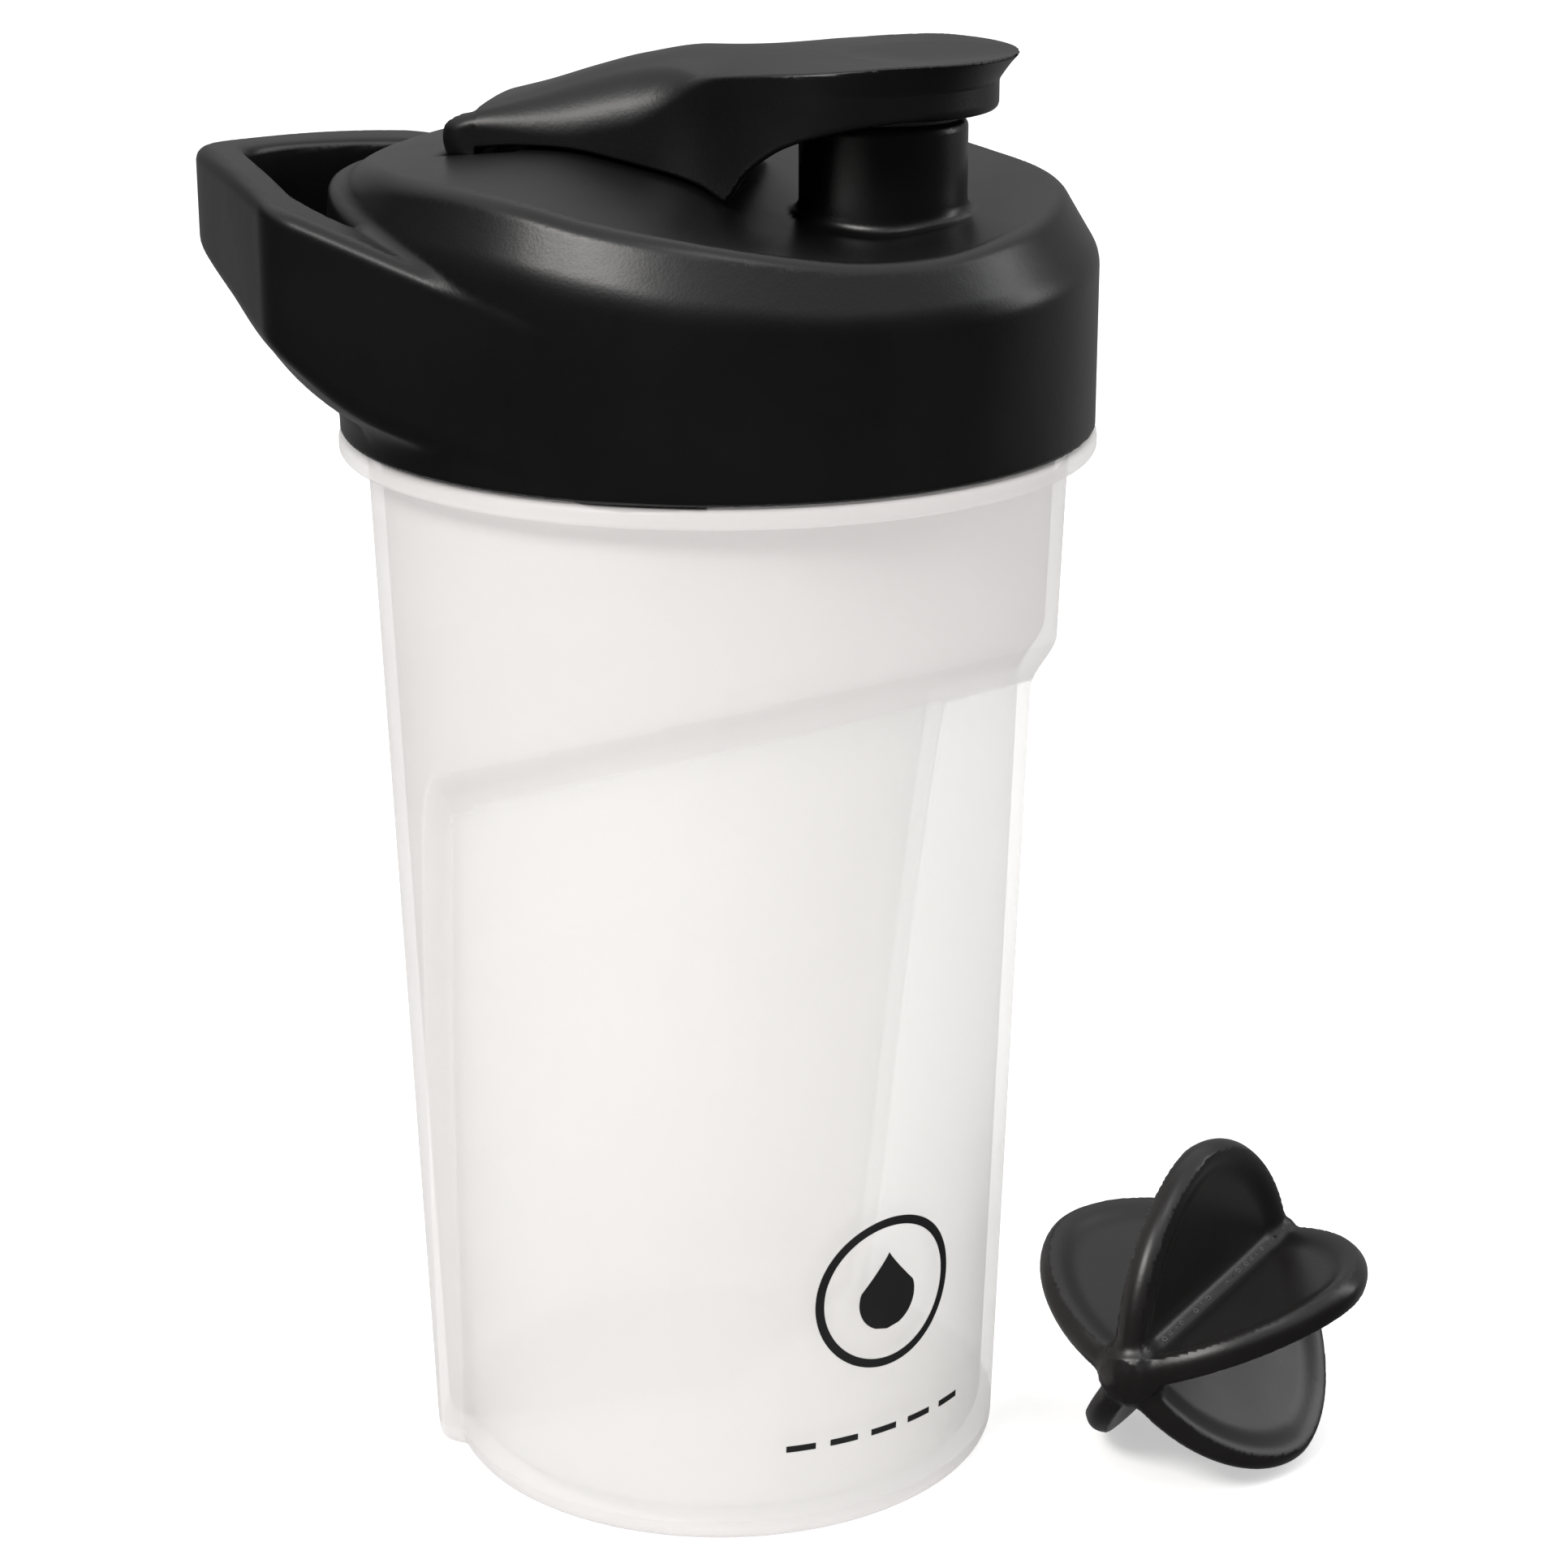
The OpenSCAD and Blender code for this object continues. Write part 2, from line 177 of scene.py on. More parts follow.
# ---------------------------------------------------------------- materials
def material(name, color, rough, spec, grain, bump, mottle, rough_var, alpha=1.0):
    """Principled plastic: fine moulded grain, slow mottling of colour and roughness, faint flow marks."""
    m = bpy.data.materials.new(name)
    m.use_nodes = True
    nt = m.node_tree
    b = nt.nodes["Principled BSDF"]
    b.inputs["Base Color"].default_value = (*color, 1)
    b.inputs["Roughness"].default_value = rough
    b.inputs["Specular IOR Level"].default_value = spec
    b.inputs["Alpha"].default_value = alpha
    tc = nt.nodes.new("ShaderNodeTexCoord")

    def noise(scale, detail=3, rough_=0.55):
        n = nt.nodes.new("ShaderNodeTexNoise")
        n.inputs["Scale"].default_value = scale
        n.inputs["Detail"].default_value = detail
        n.inputs["Roughness"].default_value = rough_
        nt.links.new(tc.outputs["Object"], n.inputs["Vector"])
        return n

    def ramp(src, lo, hi):
        r = nt.nodes.new("ShaderNodeMapRange")
        r.inputs["From Min"].default_value = 0.3
        r.inputs["From Max"].default_value = 0.7
        r.inputs["To Min"].default_value = lo
        r.inputs["To Max"].default_value = hi
        nt.links.new(src, r.inputs["Value"])
        return r.outputs["Result"]

    slow = noise(45, 4)
    nt.links.new(ramp(slow.outputs["Fac"], rough - rough_var, rough + rough_var), b.inputs["Roughness"])
    mix = nt.nodes.new("ShaderNodeMix")
    mix.data_type = "RGBA"
    mix.inputs[6].default_value = (*[c * (1 - mottle) for c in color], 1)
    mix.inputs[7].default_value = (*[min(1, c * (1 + mottle)) for c in color], 1)
    nt.links.new(ramp(slow.outputs["Fac"], 0, 1), mix.inputs[0])
    nt.links.new(mix.outputs[2], b.inputs["Base Color"])
    fine = noise(grain, 2)
    wave = noise(grain / 9, 3)
    add = nt.nodes.new("ShaderNodeMath")
    add.operation = "MULTIPLY_ADD"
    add.inputs[1].default_value = 0.5
    nt.links.new(fine.outputs["Fac"], add.inputs[0])
    nt.links.new(wave.outputs["Fac"], add.inputs[2])
    bp = nt.nodes.new("ShaderNodeBump")
    bp.inputs["Strength"].default_value = bump
    bp.inputs["Distance"].default_value = 0.0001
    nt.links.new(add.outputs[0], bp.inputs["Height"])
    nt.links.new(bp.outputs["Normal"], b.inputs["Normal"])
    return m


# name, colour, roughness, specular, grain scale, bump, mottle, spread of roughness, alpha
BLACK = (0.0034, 0.0034, 0.0038)
INK = (0.012, 0.012, 0.013)
black = material("lid_plastic", BLACK, 0.34, 0.42, 2600, 0.25, 0.2, 0.03)
cap_black = material("cap_plastic", BLACK, 0.37, 0.42, 2200, 0.35, 0.2, 0.03)
mix_black = material("mixer_plastic", (0.008, 0.007, 0.007), 0.34, 0.45, 1500, 0.3, 0.25, 0.04)
rubber_dark = material("plug_silicone", INK, 0.6, 0.4, 1500, 0.3, 0.15, 0.05)
rubber_grey = material("seal_silicone", (0.45, 0.45, 0.44), 0.55, 0.4, 1500, 0.3, 0.06, 0.05)
ink = material("print_ink", INK, 0.5, 0.4, 3000, 0.2, 0.2, 0.05)
frost = material("cup_plastic", (0.71, 0.688, 0.683), 0.42, 0.45, 1800, 0.22, 0.012, 0.05, 0.6)
# painted light: a lighter colour for the thin recess panel, standing in for the light coming through it
panel = material("cup_panel_painted_light", (0.835, 0.82, 0.805), 0.38, 0.45, 1800, 0.18, 0.01, 0.05, 0.4)
# painted shade: a darker colour for the recess's edges, where the thicker plastic passes less light
edge = material("cup_edge_painted_shade", (0.665, 0.645, 0.64), 0.42, 0.45, 1800, 0.2, 0.015, 0.05, 0.62)

# ---------------------------------------------------------------- cup
BASE_R, TOP_R, BODY_H = 39.7, 44.7, 138.0
REC_BASE, REC_TOP = 37.13, 41.58        # radius inside the recess, at the base and at the top
RDIR = math.radians(-42.5)              # the way the recess faces
WALL = 1.7
NECK_R, NECK_IN, FLANGE_TOP = 43.8, 41.8, 140.5
LINE_Z, LINE_TILT = 98.8, 16.1          # top edge of the recess: height at its sides, rise at its middle
LINE_ROW = 0.72                         # share of the wall's rows that lie below that edge


def full_r(z):
    return BASE_R + (TOP_R - BASE_R) * z / BODY_H


def rec_r(z):
    return REC_BASE + (REC_TOP - REC_BASE) * z / BODY_H


def side_plane(z):
    """How far in front of the axis the recess's sides lie, by height."""
    return curve(z, [(0, -14.6), (20, -12.2), (50, -9.5), (80, -6.0), (98, -3.4), (115, -1.5)])


def recess_depth(delta, z, off):
    """0 on the full body to 1 in the recess; off moves every face inwards, as on the inside of the wall."""
    R = full_r(z)
    top = LINE_Z + LINE_TILT * np.cos(delta) + off * 1.2 - z    # above the line: negative
    side = R * np.cos(delta) - side_plane(z) + off
    t = rmax(-top * 0.96 / 3.5, -side / 1.55, 1.2)              # rounded upper corners
    return 1 - step(t, -1.0, 1.0)


def body_radius(delta, z, off):
    w = recess_depth(delta, z, off)
    return full_r(z) * (1 - w) + rec_r(z) * w - off


def wall_mesh(off, z0, z1, ncol, nrow):
    """Rows and columns crowd where the recess's edges run. Returns (nrow, ncol, 3) points."""
    half = ncol // 2
    u = np.linspace(0, 1, half + 1)
    us = u - 0.72 * np.sin(2 * np.pi * (u - 0.5)) / (2 * np.pi)
    rows = []
    for t in np.linspace(0, 1, nrow):
        crowd = 0.62 * np.sin(2 * np.pi * (t - LINE_ROW)) / (2 * np.pi)
        tt = t - crowd - 0.62 * np.sin(2 * np.pi * LINE_ROW) / (2 * np.pi)
        z = np.full(half + 1, z0 + (z1 - z0) * tt)
        for _ in range(2):
            sd = np.arccos(np.clip(side_plane(z) / full_r(z), -1, 1))
            delta = np.where(us < 0.5, sd * us * 2, sd + (np.pi - sd) * (us - 0.5) * 2)
            mid = LINE_Z + LINE_TILT * np.cos(np.minimum(delta, 1.75))
            below = z0 + (mid - z0) * tt / LINE_ROW
            above = mid + (z1 - mid) * (tt - LINE_ROW) / 0.28
            z = np.where(tt < LINE_ROW, below, above)
        r = body_radius(delta, z, off)
        ang = np.concatenate([delta, -delta[1:-1][::-1]]) + RDIR
        rows.append(level(np.r_[r, r[1:-1][::-1]], ang, np.r_[z, z[1:-1][::-1]]))
    return np.concatenate(rows)


def level(r, ang, z):
    """One row of points round the axis, as a (1, n, 3) array."""
    return np.stack([r * np.cos(ang), r * np.sin(ang), z + 0 * ang], 1)[None]


def stitch(rows):
    nr, nc, _ = rows.shape
    faces = []
    for j in range(nr - 1):
        a = j * nc
        for i in range(nc):
            k = (i + 1) % nc
            faces.append((a + i, a + k, a + nc + k, a + nc + i))
    return rows.reshape(-1, 3), faces


def arc(cx, cz, r, a0, a1, n):
    turn = [math.radians(a0 + (a1 - a0) * i / n) for i in range(n + 1)]
    return [(cx + r * math.cos(a), cz + r * math.sin(a)) for a in turn]


def build_cup():
    cols, low_r, in_low_r, floor_z = 300, 1.8, 2.3, 3.2
    outer = wall_mesh(0, low_r, 134.5, cols, 150)
    inner = wall_mesh(WALL, floor_z + in_low_r, 133.0, cols, 96)

    def turn(row):
        return np.unwrap(np.arctan2(row[:, 1], row[:, 0])), np.hypot(row[:, 0], row[:, 1])

    ang_o, base_r = turn(outer[0])
    ang_t, _ = turn(outer[-1])
    ang_i, in_r = turn(inner[0])
    # the base: hollow, foot ring and rounded lower edge, blended from the wall's own outline
    foot = [(0.35, 0.8), (8, 0.8), (20, 0.8), (29.5, 0.8), (31.0, 0.72), (31.9, 0.35), (32.4, 0.06)]
    foot.append((33.0, 0.0))
    rows = [level(r, ang_o, z) for r, z in foot]
    for a in range(0, 91, 15):
        c, q = math.cos(math.radians(a)), math.sin(math.radians(a))
        rows.append(level(base_r - low_r + low_r * q, ang_o, low_r - low_r * c))
    rows.append(outer[1:])
    # flange, neck, rim and the step back to the inside of the wall
    prof = [(full_r(135.6), 135.6), (full_r(136.6), 136.6), (full_r(137.4), 137.3)]
    prof += [(44.75, 137.85), (45.4, 138.02), (47.3, 138.05)]
    prof += arc(47.45, 138.85, 0.8, -75, 0, 4) + arc(47.45, 139.7, 0.8, 0, 90, 5)
    prof += [(46.0, FLANGE_TOP), (44.4, FLANGE_TOP), (43.95, 140.62), (NECK_R, 141.0)]
    prof += [(NECK_R, z) for z in (145, 150, 155, 157.9)]
    prof += arc(43.2, 157.9, 0.6, 20, 90, 4) + arc(42.4, 157.9, 0.6, 90, 180, 5)
    prof += [(NECK_IN, z) for z in (155, 150, 146)]
    prof += [(41.9, 142.5), (42.4, 139.5), (43.0, 137.0), (42.98, 135.0)]
    rows += [level(r, ang_t, z) for r, z in prof]
    rows.append(inner[::-1])
    for a in range(15, 91, 15):
        c, q = math.cos(math.radians(a)), math.sin(math.radians(a))
        rows.append(level(in_r - in_low_r + in_low_r * c, ang_i, floor_z + in_low_r - in_low_r * q))
    rows += [level(r, ang_i, floor_z) for r in (30, 20, 8, 0.35)]
    P, faces = stitch(np.concatenate(rows))
    faces.append(tuple(range(cols))[::-1])
    faces.append(tuple(range(len(P) - cols, len(P))))
    return P, faces


P, F = build_cup()
cup = make("cup_shell", P, F, body="cup", mat=frost, replaces=("cup",))
cup.data.materials.append(panel)
cup.data.materials.append(edge)
# painted light and shade: the thin panel of the grip recess, which lets more light through than its edges
# do, gets a lighter colour as painted light, and the edges a darker one as painted shade
mid = np.array([f.center[:] for f in cup.data.polygons]) / MM
dl = np.angle(np.exp(1j * (np.arctan2(mid[:, 1], mid[:, 0]) - RDIR)))
dep = recess_depth(np.abs(dl), mid[:, 2], WALL * (np.hypot(mid[:, 0], mid[:, 1]) < rec_r(mid[:, 2]) - 0.9))
wall = (mid[:, 2] > 3) & (mid[:, 2] < 133)
kind = np.where(wall & (dep > 0.96), 1, np.where(wall & (dep > 0.06), 2, 0))
cup.data.polygons.foreach_set("material_index", kind.astype(np.int32))


THREAD_LEAD, THREAD_TURN, THREAD_H, THREAD_W = 10, 250, 1.05, 1.9
LID_BORE_R = 45.3


def ridge(r, out, z, start):
    """A helical thread ridge with rounded crest and run-out ends; out is 1 on the neck, -1 in the lid."""
    n = 110
    half = [(-0.35, -0.62), (0.0, -0.5), (0.55, -0.34), (0.9, -0.2)]
    sec = half + [(1.0, 0.0)] + [(p, -q) for p, q in half[::-1]]
    k = len(sec)
    P, F = [], []
    for i in range(n + 1):
        a = math.radians(start + THREAD_TURN * i / n)
        fade = math.sin(min(1, 9 * min(i, n - i) / n + 0.03) * math.pi / 2)
        zz = z + THREAD_LEAD * THREAD_TURN / 360 * i / n
        for p, q in sec:
            rr = r + out * (p * THREAD_H if p < 0 else p * THREAD_H * fade)
            P.append((rr * math.cos(a), rr * math.sin(a), zz + q * THREAD_W * 1.15))
    for i in range(n):
        for j in range(k):
            q = (i * k + j, i * k + (j + 1) % k, (i + 1) * k + (j + 1) % k, (i + 1) * k + j)
            F.append(q if out < 0 else q[::-1])
    first, last = tuple(range(k)), tuple(range(n * k, n * k + k))
    return P, F + ([first[::-1], last] if out < 0 else [first, last[::-1]])


def threads(name, r, out, z, body, mat):
    P, F = [], []
    for start in (0, 180):
        p, f = ridge(r, out, z, start)
        F += [tuple(i + len(P) for i in q) for q in f]
        P += p
    return make(name, P, F, body=body, mat=mat)


threads("cup_threads", NECK_R, 1, 145.55, "cup", frost)
threads("lid_threads", LID_BORE_R, -1, 143.3, "lid", black)

# ---------------------------------------------------------------- lid
# s runs from the hinge to the front (X), l across (Y)
SKIRT_R, SKIRT_LOW = 48, 140.8
ROOF_Z, DECK_WALL = 160.15, 2.5         # face that the gasket seats on, thickness of the deck
INNER_R = 39.4                          # hollow above that face
HX, HZ = -27.8, 177.37                  # axis of the hinge
LEVER_HALF, HEEL_R = 12.6, 4.9          # half width and rounded heel of the cap's lever
POCKET_R, KNUCKLE_R, PIN_R, PIN_BORE_R = 5.35, 2.7, 1.4, 1.5
SX = 21.0                               # axis of the spout
SPOUT_R, SPOUT_BORE_R, SPOUT_LOW, SPOUT_TOP = 10.5, 8.4, 161, 179.6


def deck_edge(s):
    return curve(s, [(-50, 173.2), (-44, 173.8), (-36, 174.5), (-24, 174.7), (-15, 174.3), (-7, 173.5),
                     (-1, 173.1), (5, 172.8), (14.7, 172.4), (24.4, 172.0), (32.3, 171.6), (38.6, 171.2),
                     (50, 170.6)])


def deck_mid(s):
    """Rise of the deck's middle line over its edges; it dips round the spout."""
    return curve(s, [(-50, 0.0), (-40, 0.3), (-31, 0.9), (-17, 1.8), (-10.7, 1.3), (-4.5, 0.5), (0.6, -0.6),
                     (4, -2.2), (11, -4.6), (21, -5.2), (31, -3.6), (38, -1.6), (46, 0)])


def sway(s, l):
    """The deck drops a little more on the side that faces the grip recess."""
    return 0.07 * l * step(s, -25, 25)


def deck(s, l):
    return deck_edge(s) + sway(s, l) + deck_mid(s) * np.clip(1 - (l / 44) ** 2, 0, 1)


def lid_body(s, l, z):
    """The solid outside of the lid: skirt, bevel and deck."""
    R = np.hypot(s, l)
    # bevel between the skirt and the deck, taller at the front
    lean = curve(s, [(-50, 0.36), (0, 0.47), (46, 0.62)])
    foot = curve(s, [(-50, 167.2), (-20, 167.2), (-9, 166.2), (10, 164.4), (24, 163.2), (46, 162.6)])
    foot = foot + 0.6 * sway(s, l)
    bevel = (R - SKIRT_R + lean * (z - foot)) / np.sqrt(1 + lean * lean)
    body = smax(R - SKIRT_R, bevel, 0.8)
    body = rmax(body, (z - deck(s, l)) * 0.96, 1.4 + 1.2 * step(-s, 25, 45))
    return rmax(body, SKIRT_LOW - z, 0.6)


def carry_loop(s, l, z):
    """A pointed loop in plan: two planes meet at the tip (tip) and two run back to the skirt (flank)."""
    R = np.hypot(s, l)
    al = np.sqrt(l * l + 9.0) - 0.6
    tip = -s * 0.848 + al * 0.5299 - 58
    flank = -0.319 * s + 0.9478 * np.abs(l) - 48.0
    side = np.where(s < -15.3, flank, R - SKIRT_R + 0.1 * (s + 15.3))
    top = smin(174.4 - 0.06 * (s + 68.4), 171.8 - 0.29 * (s + 46.5), 2.0)
    out = np.maximum(R - SKIRT_R, 0)
    low = smin(161.0 - 0.342 * (s + 68.4), 144.5 + 0.52 * out + 0.052 * out * out, 2.0)
    loop = rmax(rmax(smax(tip - 0.7, side, 2.4), z - top, 2.0), (low - z) * 0.75, 1.6)
    loop = np.maximum(loop, 36 - R)
    hole = rmax(rmax(tip + 5.0, flank + 7.0, 3.0), 48.4 - R, 1.2)
    return rmax(loop, -hole, 1.3)


def lid_cavity(s, l, z):
    """The hollow inside; a block under the hinge and a wall round the spout stay solid."""
    R, rs = np.hypot(s, l), np.hypot(s - SX, l)
    block = np.maximum(np.maximum(np.abs(s - HX) - 12, np.abs(l) - 16.5), 170.0 - z)
    cav = np.maximum(np.maximum(R - INNER_R, z - deck(s, l) + DECK_WALL), -block)
    cav = np.minimum(cav, np.maximum(R - LID_BORE_R, z - ROOF_Z))
    return np.maximum(cav, -np.maximum(rs - 10.4, SPOUT_LOW - z))


def lid_knuckle(s, l, z):
    """The hinge's central knuckle, with a blind bore for each of the cap's pins."""
    rh = np.hypot(s - HX, z - HZ)
    knuckle = np.minimum(rh - KNUCKLE_R, np.maximum(np.abs(s - HX) - 2.4, z - HZ))
    knuckle = rmax(knuckle, np.abs(l) - 10.3, 0.4)
    knuckle = np.maximum(knuckle, 171 - z)
    return np.maximum(knuckle, -np.maximum(rh - PIN_BORE_R, 7.0 - np.abs(l)))


def lid_field(s, l, z):
    d = rmin(lid_body(s, l, z), carry_loop(s, l, z), 0.7 + 1.1 * step(-s, 20, 36))
    rs = np.hypot(s - SX, l)
    spout = np.maximum(rmax(rs - SPOUT_R, z - SPOUT_TOP, 0.9), SPOUT_LOW - z)
    d = rmin(d, spout, 1.6)
    d = rmax(d, SPOUT_BORE_R - rs, 0.5)
    d = rmax(d, -lid_cavity(s, l, z), 0.5)
    d = rmax(d, SPOUT_BORE_R - rs, 0.5)
    # pocket for the cap's rounded heel, and the hinge knuckle in it
    pocket = np.maximum(np.hypot(s - HX, z - HZ) - POCKET_R, np.abs(l) - 13.1)
    d = rmax(d, -pocket, 0.4)
    return np.minimum(d, lid_knuckle(s, l, z))


P, Q, N = skin(lid_field, (-70, -49.5, 139.5), (50.5, 49.5, 181.5), 0.74)
make("lid_shell", P, Q, N, body="lid", mat=black,
     replaces=("lid",))

# ---------------------------------------------------------------- flip cap
HEAD_S, HEAD_R = 17.8, 20.0             # centre and radius of the cap's round head
SHELL = 2.0                             # wall round the hollow underside
PLUG_R, BOSS_R, BOSS_LOW = 3.0, 6.5, 180.7


def cap_top(s, l):
    mid = curve(s, [(-34, 179.6), (-30.5, 180.6), (-27.3, 181.5), (-22.5, 182.8), (-15.5, 185.0),
                    (-9.5, 186.6), (-1.5, 187.8), (8, 187.8), (15, 187.6), (25, 187.6), (33, 187.8),
                    (42, 187.8)])
    side = curve(s, [(-34, 179.4), (-27.3, 180.7), (-21, 181.8), (-12.6, 183.3), (-6, 184.6), (0, 185.6),
                     (5.5, 186.3), (10.5, 186.8), (16, 187.2), (21, 187.6), (28, 188.0), (33.5, 188.0),
                     (42, 187.8)])
    half = 12.5 + 6.5 * step(s, 0, 13)
    return mid + (side - mid) * np.abs(np.clip(l / half, -1, 1)) ** (2.6 - 0.6 * step(s, -5, 8))


def cap_plan(s, l):
    lever = np.maximum(np.abs(l) - LEVER_HALF, s - HEAD_S)
    head = np.hypot(s - HEAD_S, l) - HEAD_R
    return smin(lever, head, 7.0)


def cap_low(s, l):
    """Underside: it follows the deck along the lever, then arches up to clear the spout."""
    arch = curve(s, [(-34, 0), (3.6, 0), (4.6, 0.8), (6.5, 3.4), (9.0, 5.6), (12, 7.4), (16, 8.8), (21, 9.9),
                     (26, 10.4), (50, 10.8)])
    low = deck(np.minimum(s, 4.0), l) + 0.45 + arch
    rp = np.hypot(s - 18.5, l)
    return np.where(s < 4.0, low, np.minimum(low, 182.0 - 0.3 * np.clip(20 - rp, 0, 9)))


def cap_field(s, l, z):
    flare = 2.6 * step(s, 14, 36) * np.clip((187.6 - z) / 3.2, 0, 1) ** 0.8
    wall = cap_plan(s, l) + flare
    scoop = 0.9 * np.clip(1 - ((s - 27) ** 2 + l ** 2) / 130.0, 0, 1) ** 1.5
    roof = z - cap_top(s, l) + scoop
    top = roof * 0.96
    bot = (cap_low(s, l) - z) * (0.96 - 0.3 * step(s, 3.5, 5.5) * (1 - step(s, 11, 16)))
    # the rounding of the upper edge grows along the lever and ends at the head
    d = rmax(wall, top, 0.45 + (1.2 + 3.2 * step(s, -31, -14)) * step(-s, -4, 9))
    d = rmax(d, bot, 0.6)
    rh = np.hypot(s - HX, z - HZ)
    d = np.where(s < HX, rmax(rmax(rh - HEEL_R, np.abs(l) - LEVER_HALF, 3.2), top, 1.6), d)
    # hollow underside, with the plug's boss and two ribs left in it
    rs = np.hypot(s - SX, l)
    boss = np.maximum(rs - BOSS_R, BOSS_LOW - z)
    rib = np.maximum(np.abs(np.abs(l) - 4.5) - 0.6, np.maximum(np.abs(s + 6) - 14, 180.5 - z))
    hollow = np.maximum(np.maximum(wall + SHELL, roof + 2.2), -s + HX)
    hollow = np.maximum(hollow, -np.minimum(boss, rib))
    d = rmax(d, -hollow, 0.5)
    # room for the lid's knuckle, socket for the plug, and the two pins
    gap = np.maximum(np.abs(l) - 10.6, np.minimum(rh - 3.1, s - HX + 0.4))
    d = rmax(d, -gap, 0.4)
    d = np.maximum(d, -np.maximum(rs - PLUG_R, z - 184.3))
    pin = rmax(rh - PIN_R, np.abs(np.abs(l) - 9.4) - 1.7, 0.3)
    return np.minimum(d, pin)


P, Q, N = skin(cap_field, (-34, -21.8, 170.5), (40.5, 21.8, 190.6), 0.42)
make("flip_cap_shell", P, Q, N, body="flip_cap", mat=cap_black,
     replaces=("flip_cap",))

# ---------------------------------------------------------------- mixer
MIX_C = np.array([66.02, 2.16, 21.75])
MIX_AZ, MIX_TILT, MIX_ROLL = math.radians(66.08), math.radians(3.63), math.radians(15.5)
BLADES, BLADE_R, BLADE_LONG = 5, 23.5, 0.96     # radius, and half length as a share of it
BLADE_POW = 1.78                        # outline of a blade, between a diamond (1) and an ellipse (2)
RIM_R, WEB_HALF = 1.4, 1.05             # thickened rim round a blade, half thickness of the blade
# along the mixer's axis, level across it, and up across it
mix_a = np.array([math.cos(MIX_TILT) * math.cos(MIX_AZ), math.cos(MIX_TILT) * math.sin(MIX_AZ),
                  math.sin(MIX_TILT)])
mix_h = np.array([-math.sin(MIX_AZ), math.cos(MIX_AZ), 0.0])
mix_v = np.cross(mix_a, mix_h)
if mix_v[2] < 0:
    mix_v = -mix_v


def mixer_field(x, y, z):
    X, Y, Z = x - MIX_C[0], y - MIX_C[1], z - MIX_C[2]
    t = X * mix_a[0] + Y * mix_a[1] + Z * mix_a[2]
    p = X * mix_h[0] + Y * mix_h[1]
    q = X * mix_v[0] + Y * mix_v[1] + Z * mix_v[2]
    rho = np.hypot(p, q)
    th = np.arctan2(q, p) - MIX_ROLL
    sect = 2 * np.pi / BLADES
    k = np.round(th / sect)
    d = None
    half_len, reach = BLADE_R * BLADE_LONG - 1.6, BLADE_R - 1.3
    for off in (-1, 0, 1):
        a = th - (k + off) * sect
        rr = rho * np.cos(a)          # out along the blade
        w = rho * np.sin(a)           # across the blade
        # outline: a superellipse, a little fuller than a diamond and leaner than an ellipse
        u, v = np.maximum(rr, 0) / reach + 1e-4, np.abs(t) / half_len + 1e-4
        e = (u ** BLADE_POW + v ** BLADE_POW) ** (1 / BLADE_POW)
        g = np.hypot(u ** (BLADE_POW - 1) / reach, v ** (BLADE_POW - 1) / half_len) * e ** (1 - BLADE_POW)
        outline = np.maximum((e - 1) / g, -20)
        # the far half of each blade's plane belongs to no blade
        near = np.where(rr < 0, np.maximum(np.abs(outline), -rr), outline)
        rim = np.hypot(near, w) - RIM_R
        web = np.maximum(np.maximum(np.abs(w) - WEB_HALF, outline), -rr)
        b = smin(rim, web, 2.8)
        d = b if d is None else smin(d, b, 2.8)
    stem = np.maximum(rho - 1.25, np.abs(t) - half_len)
    core = smin(stem, np.hypot(rho, np.abs(t) - half_len + 0.6) - 1.9, 2.0)
    pole = np.hypot(rho, np.abs(t) - half_len) - 2.5
    return smin(smin(d, core, 3.0), pole, 1.5)


P, Q, N = skin(mixer_field, MIX_C - 27, MIX_C + 27, 0.5)
P[:, 2] -= P[:, 2].min() - 0.02         # its lowest point just clear of the floor
make("mixer_body", P, Q, N, body="mixer", mat=mix_black,
     replaces=("mixer",))

# ---------------------------------------------------------------- plain print on the cup
PRINT_AZ, PRINT_Z = math.radians(-45.2), 33.2
PRINT_LIFT = 0.04                       # the print stands this far off the wall
DASH_STEP, DASH_Z, DASH_LONG, DASH_HIGH = math.radians(9.2), 13.2, 4.0, 0.9


def on_recess(az, z):
    r = rec_r(z) + PRINT_LIFT
    return (r * math.cos(az), r * math.sin(az), z)


def ring_print(name, az0, z0, r_in, r_out):
    n = 96
    P, F = [], []
    R0 = rec_r(z0)
    for i in range(n):
        a = 2 * math.pi * i / n
        for r in (r_in, r_out):
            P.append(on_recess(az0 + r * math.cos(a) / R0, z0 + r * math.sin(a)))
    for i in range(n):
        j = (i + 1) % n
        F.append((2 * i, 2 * i + 1, 2 * j + 1, 2 * j))
    return make(name, P, F, body="cup", mat=ink)


def drop_half(y):
    """Half width of a water drop of radius 1 at height y: round below, pointed above."""
    if y < 0.35:
        return math.sqrt(max(0, 1 - y * y))
    return 0.9367 * (1 - ((y - 0.35) / 1.15)) ** 1.15


def grid_faces(rows, cols):
    """Quads of a grid of points stored row by row, cols points to a row."""
    starts = [j * cols + i for j in range(rows - 1) for i in range(cols - 1)]
    return [(a, a + 1, a + cols + 1, a + cols) for a in starts]


def drop_print(name, az0, z0, size):
    """A plain water drop, filled in rows."""
    R0 = rec_r(z0)
    rows, cols = 27, 9
    P = []
    for j in range(rows):
        y = -1 + 2.5 * (j / (rows - 1))
        for i in range(cols):
            x = drop_half(y) * (i / 4 - 1)
            P.append(on_recess(az0 + x * size / R0, z0 + (y - 0.2) * size))
    return make(name, P, grid_faces(rows, cols), body="cup", mat=ink)


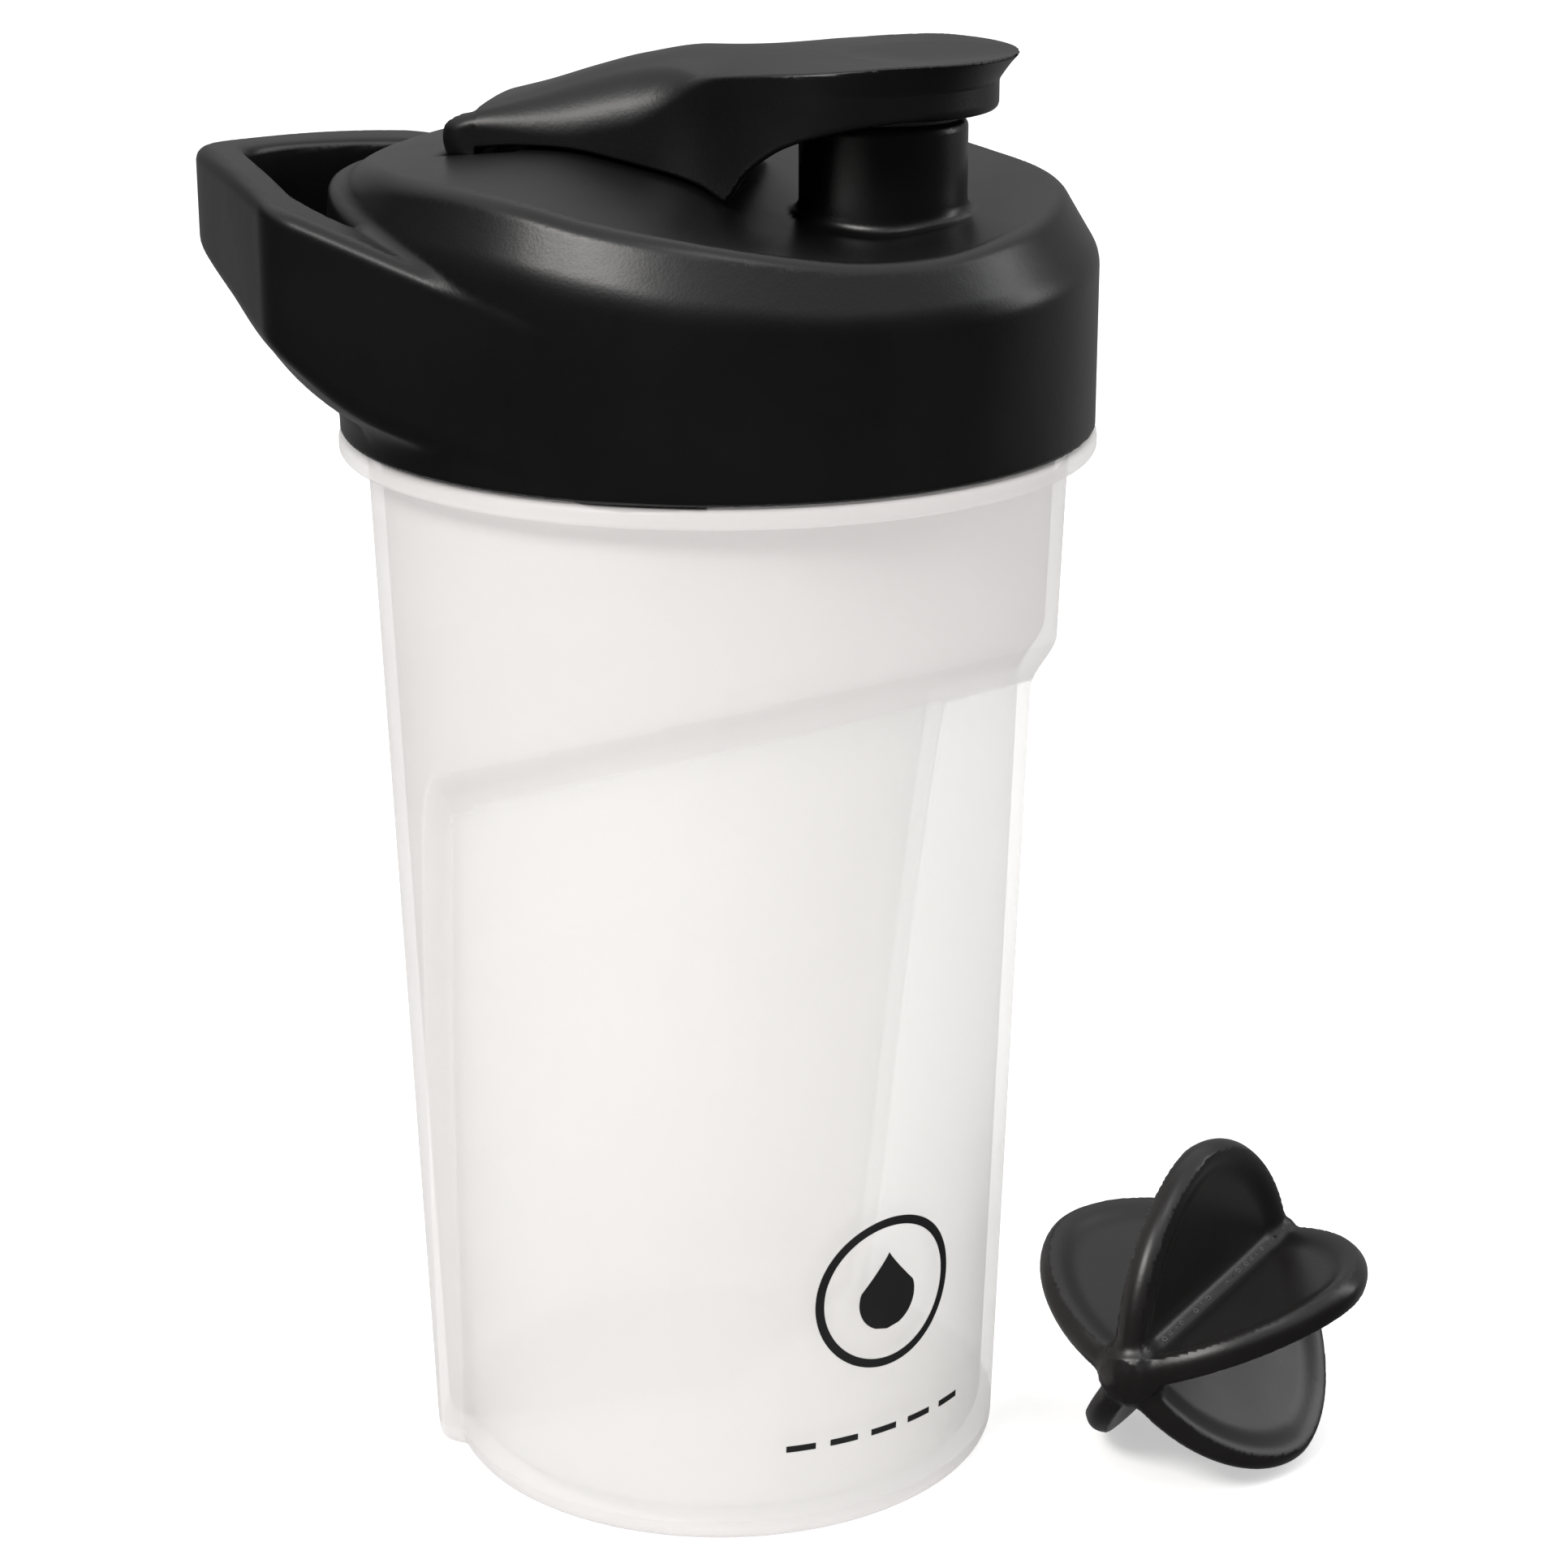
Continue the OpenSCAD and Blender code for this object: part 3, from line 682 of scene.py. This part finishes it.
def dash_print(name, az0):
    P, F = [], []
    for j in range(9):
        for k in range(3):
            P.append(on_recess(az0 + (j / 8 - 0.5) * DASH_LONG / 37.6, DASH_Z + (k / 2 - 0.5) * DASH_HIGH))
    for j in range(8):
        for k in range(2):
            b = j * 3 + k
            F.append((b, b + 3, b + 4, b + 1))
    return make(name, P, F, body="cup", mat=ink)


ring_print("print_ring", PRINT_AZ, PRINT_Z, 9.4, 10.6)
drop_print("print_drop", PRINT_AZ, PRINT_Z, 4.4)
for i in range(5):
    dash_print("print_dash_%d" % i, PRINT_AZ + DASH_STEP * (i - 2))

# ---------------------------------------------------------------- CAD nodes kept
for node, mat in (("lid_gasket", rubber_grey), ("spout_seal", rubber_dark)):
    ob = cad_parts[node]
    ob.data.materials.clear()
    ob.data.materials.append(mat)

# ---------------------------------------------------------------- stage
def stage_mesh(name, verts, faces, mat):
    me = bpy.data.meshes.new(name)
    me.from_pydata(verts, [], faces)
    ob = bpy.data.objects.new(name, me)
    bpy.context.scene.collection.objects.link(ob)
    me.materials.append(mat)
    return ob


floor_mat = bpy.data.materials.new("floor_pale")
floor_mat.use_nodes = True
fb = floor_mat.node_tree.nodes["Principled BSDF"]
fb.inputs["Base Color"].default_value = (0.93, 0.93, 0.93, 1)
fb.inputs["Roughness"].default_value = 0.9
fb.inputs["Specular IOR Level"].default_value = 0.1
fb.inputs["Emission Color"].default_value = (1, 1, 1, 1)
fb.inputs["Emission Strength"].default_value = 0.46
FLOOR_HALF, FLOOR_Z = 6, -0.0002
corners = [(x * FLOOR_HALF, y * FLOOR_HALF, FLOOR_Z) for x, y in ((-1, -1), (1, -1), (1, 1), (-1, 1))]
floor = stage_mesh("floor", corners, [(0, 1, 2, 3)], floor_mat)
floor.visible_glossy = False

world = bpy.data.worlds.new("studio")
bpy.context.scene.world = world
world.use_nodes = True
wn = world.node_tree
bg = wn.nodes["Background"]
# dim all round, bright overhead and behind, and white where the camera sees past the floor
wt = wn.nodes.new("ShaderNodeTexCoord")
ws = wn.nodes.new("ShaderNodeSeparateXYZ")
wn.links.new(wt.outputs["Generated"], ws.inputs[0])


def wrange(src, a, b, lo, hi):
    r = wn.nodes.new("ShaderNodeMapRange")
    r.interpolation_type = "SMOOTHSTEP"
    r.inputs["From Min"].default_value, r.inputs["From Max"].default_value = a, b
    r.inputs["To Min"].default_value, r.inputs["To Max"].default_value = lo, hi
    wn.links.new(src, r.inputs["Value"])
    return r.outputs["Result"]


def wmath(op, a, b):
    m = wn.nodes.new("ShaderNodeMath")
    m.operation = op
    for i, v in enumerate((a, b)):
        if isinstance(v, (int, float)):
            m.inputs[i].default_value = v
        else:
            wn.links.new(v, m.inputs[i])
    return m.outputs[0]


up = wrange(ws.outputs["Z"], 0.3, 0.85, 0.0, 0.95)
back = wrange(ws.outputs["Y"], 0.2, 1.0, 0.0, 0.26)
glow = wmath("ADD", wmath("ADD", up, back), 0.035)
lp = wn.nodes.new("ShaderNodeLightPath")
glow = wmath("MAXIMUM", glow, wmath("MULTIPLY", lp.outputs["Is Diffuse Ray"], 0.5))
glow = wmath("MAXIMUM", glow, lp.outputs["Is Camera Ray"])
bg.inputs["Color"].default_value = (1, 1, 1, 1)
wn.links.new(glow, bg.inputs["Strength"])


def softbox(name, loc, target, sx, sy, power, color=(1, 1, 1)):
    L = bpy.data.lights.new(name, "AREA")
    L.shape = "RECTANGLE"
    L.size, L.size_y = sx, sy
    L.energy = power
    L.color = color
    ob = bpy.data.objects.new(name, L)
    bpy.context.scene.collection.objects.link(ob)
    ob.location = loc
    ob.rotation_euler = (Vector(target) - Vector(loc)).to_track_quat("-Z", "Y").to_euler()
    return ob


softbox("key", (-0.31, -0.66, 0.76), (0, 0, 0.15), 0.46, 0.22, 6.0, (1, 0.98, 0.96))
softbox("top", (0.25, -0.35, 1.1), (0, 0, 0.14), 0.3, 0.3, 1.2)
softbox("rim", (0.8, 0.35, 0.45), (0, 0, 0.12), 0.2, 0.6, 1.6)

# ---------------------------------------------------------------- camera
cam = bpy.data.cameras.new("camera")
cam.sensor_width = 36
cam.lens = 82.307143
cam.clip_start = 0.01
cam.clip_end = 50
co = bpy.data.objects.new("camera", cam)
bpy.context.scene.collection.objects.link(co)
co.location = (0.08637, -0.44153, 0.23917)
co.rotation_euler = (math.radians(71.852), 0, math.radians(10))
bpy.context.scene.camera = co
bpy.context.scene.view_settings.view_transform = "Standard"
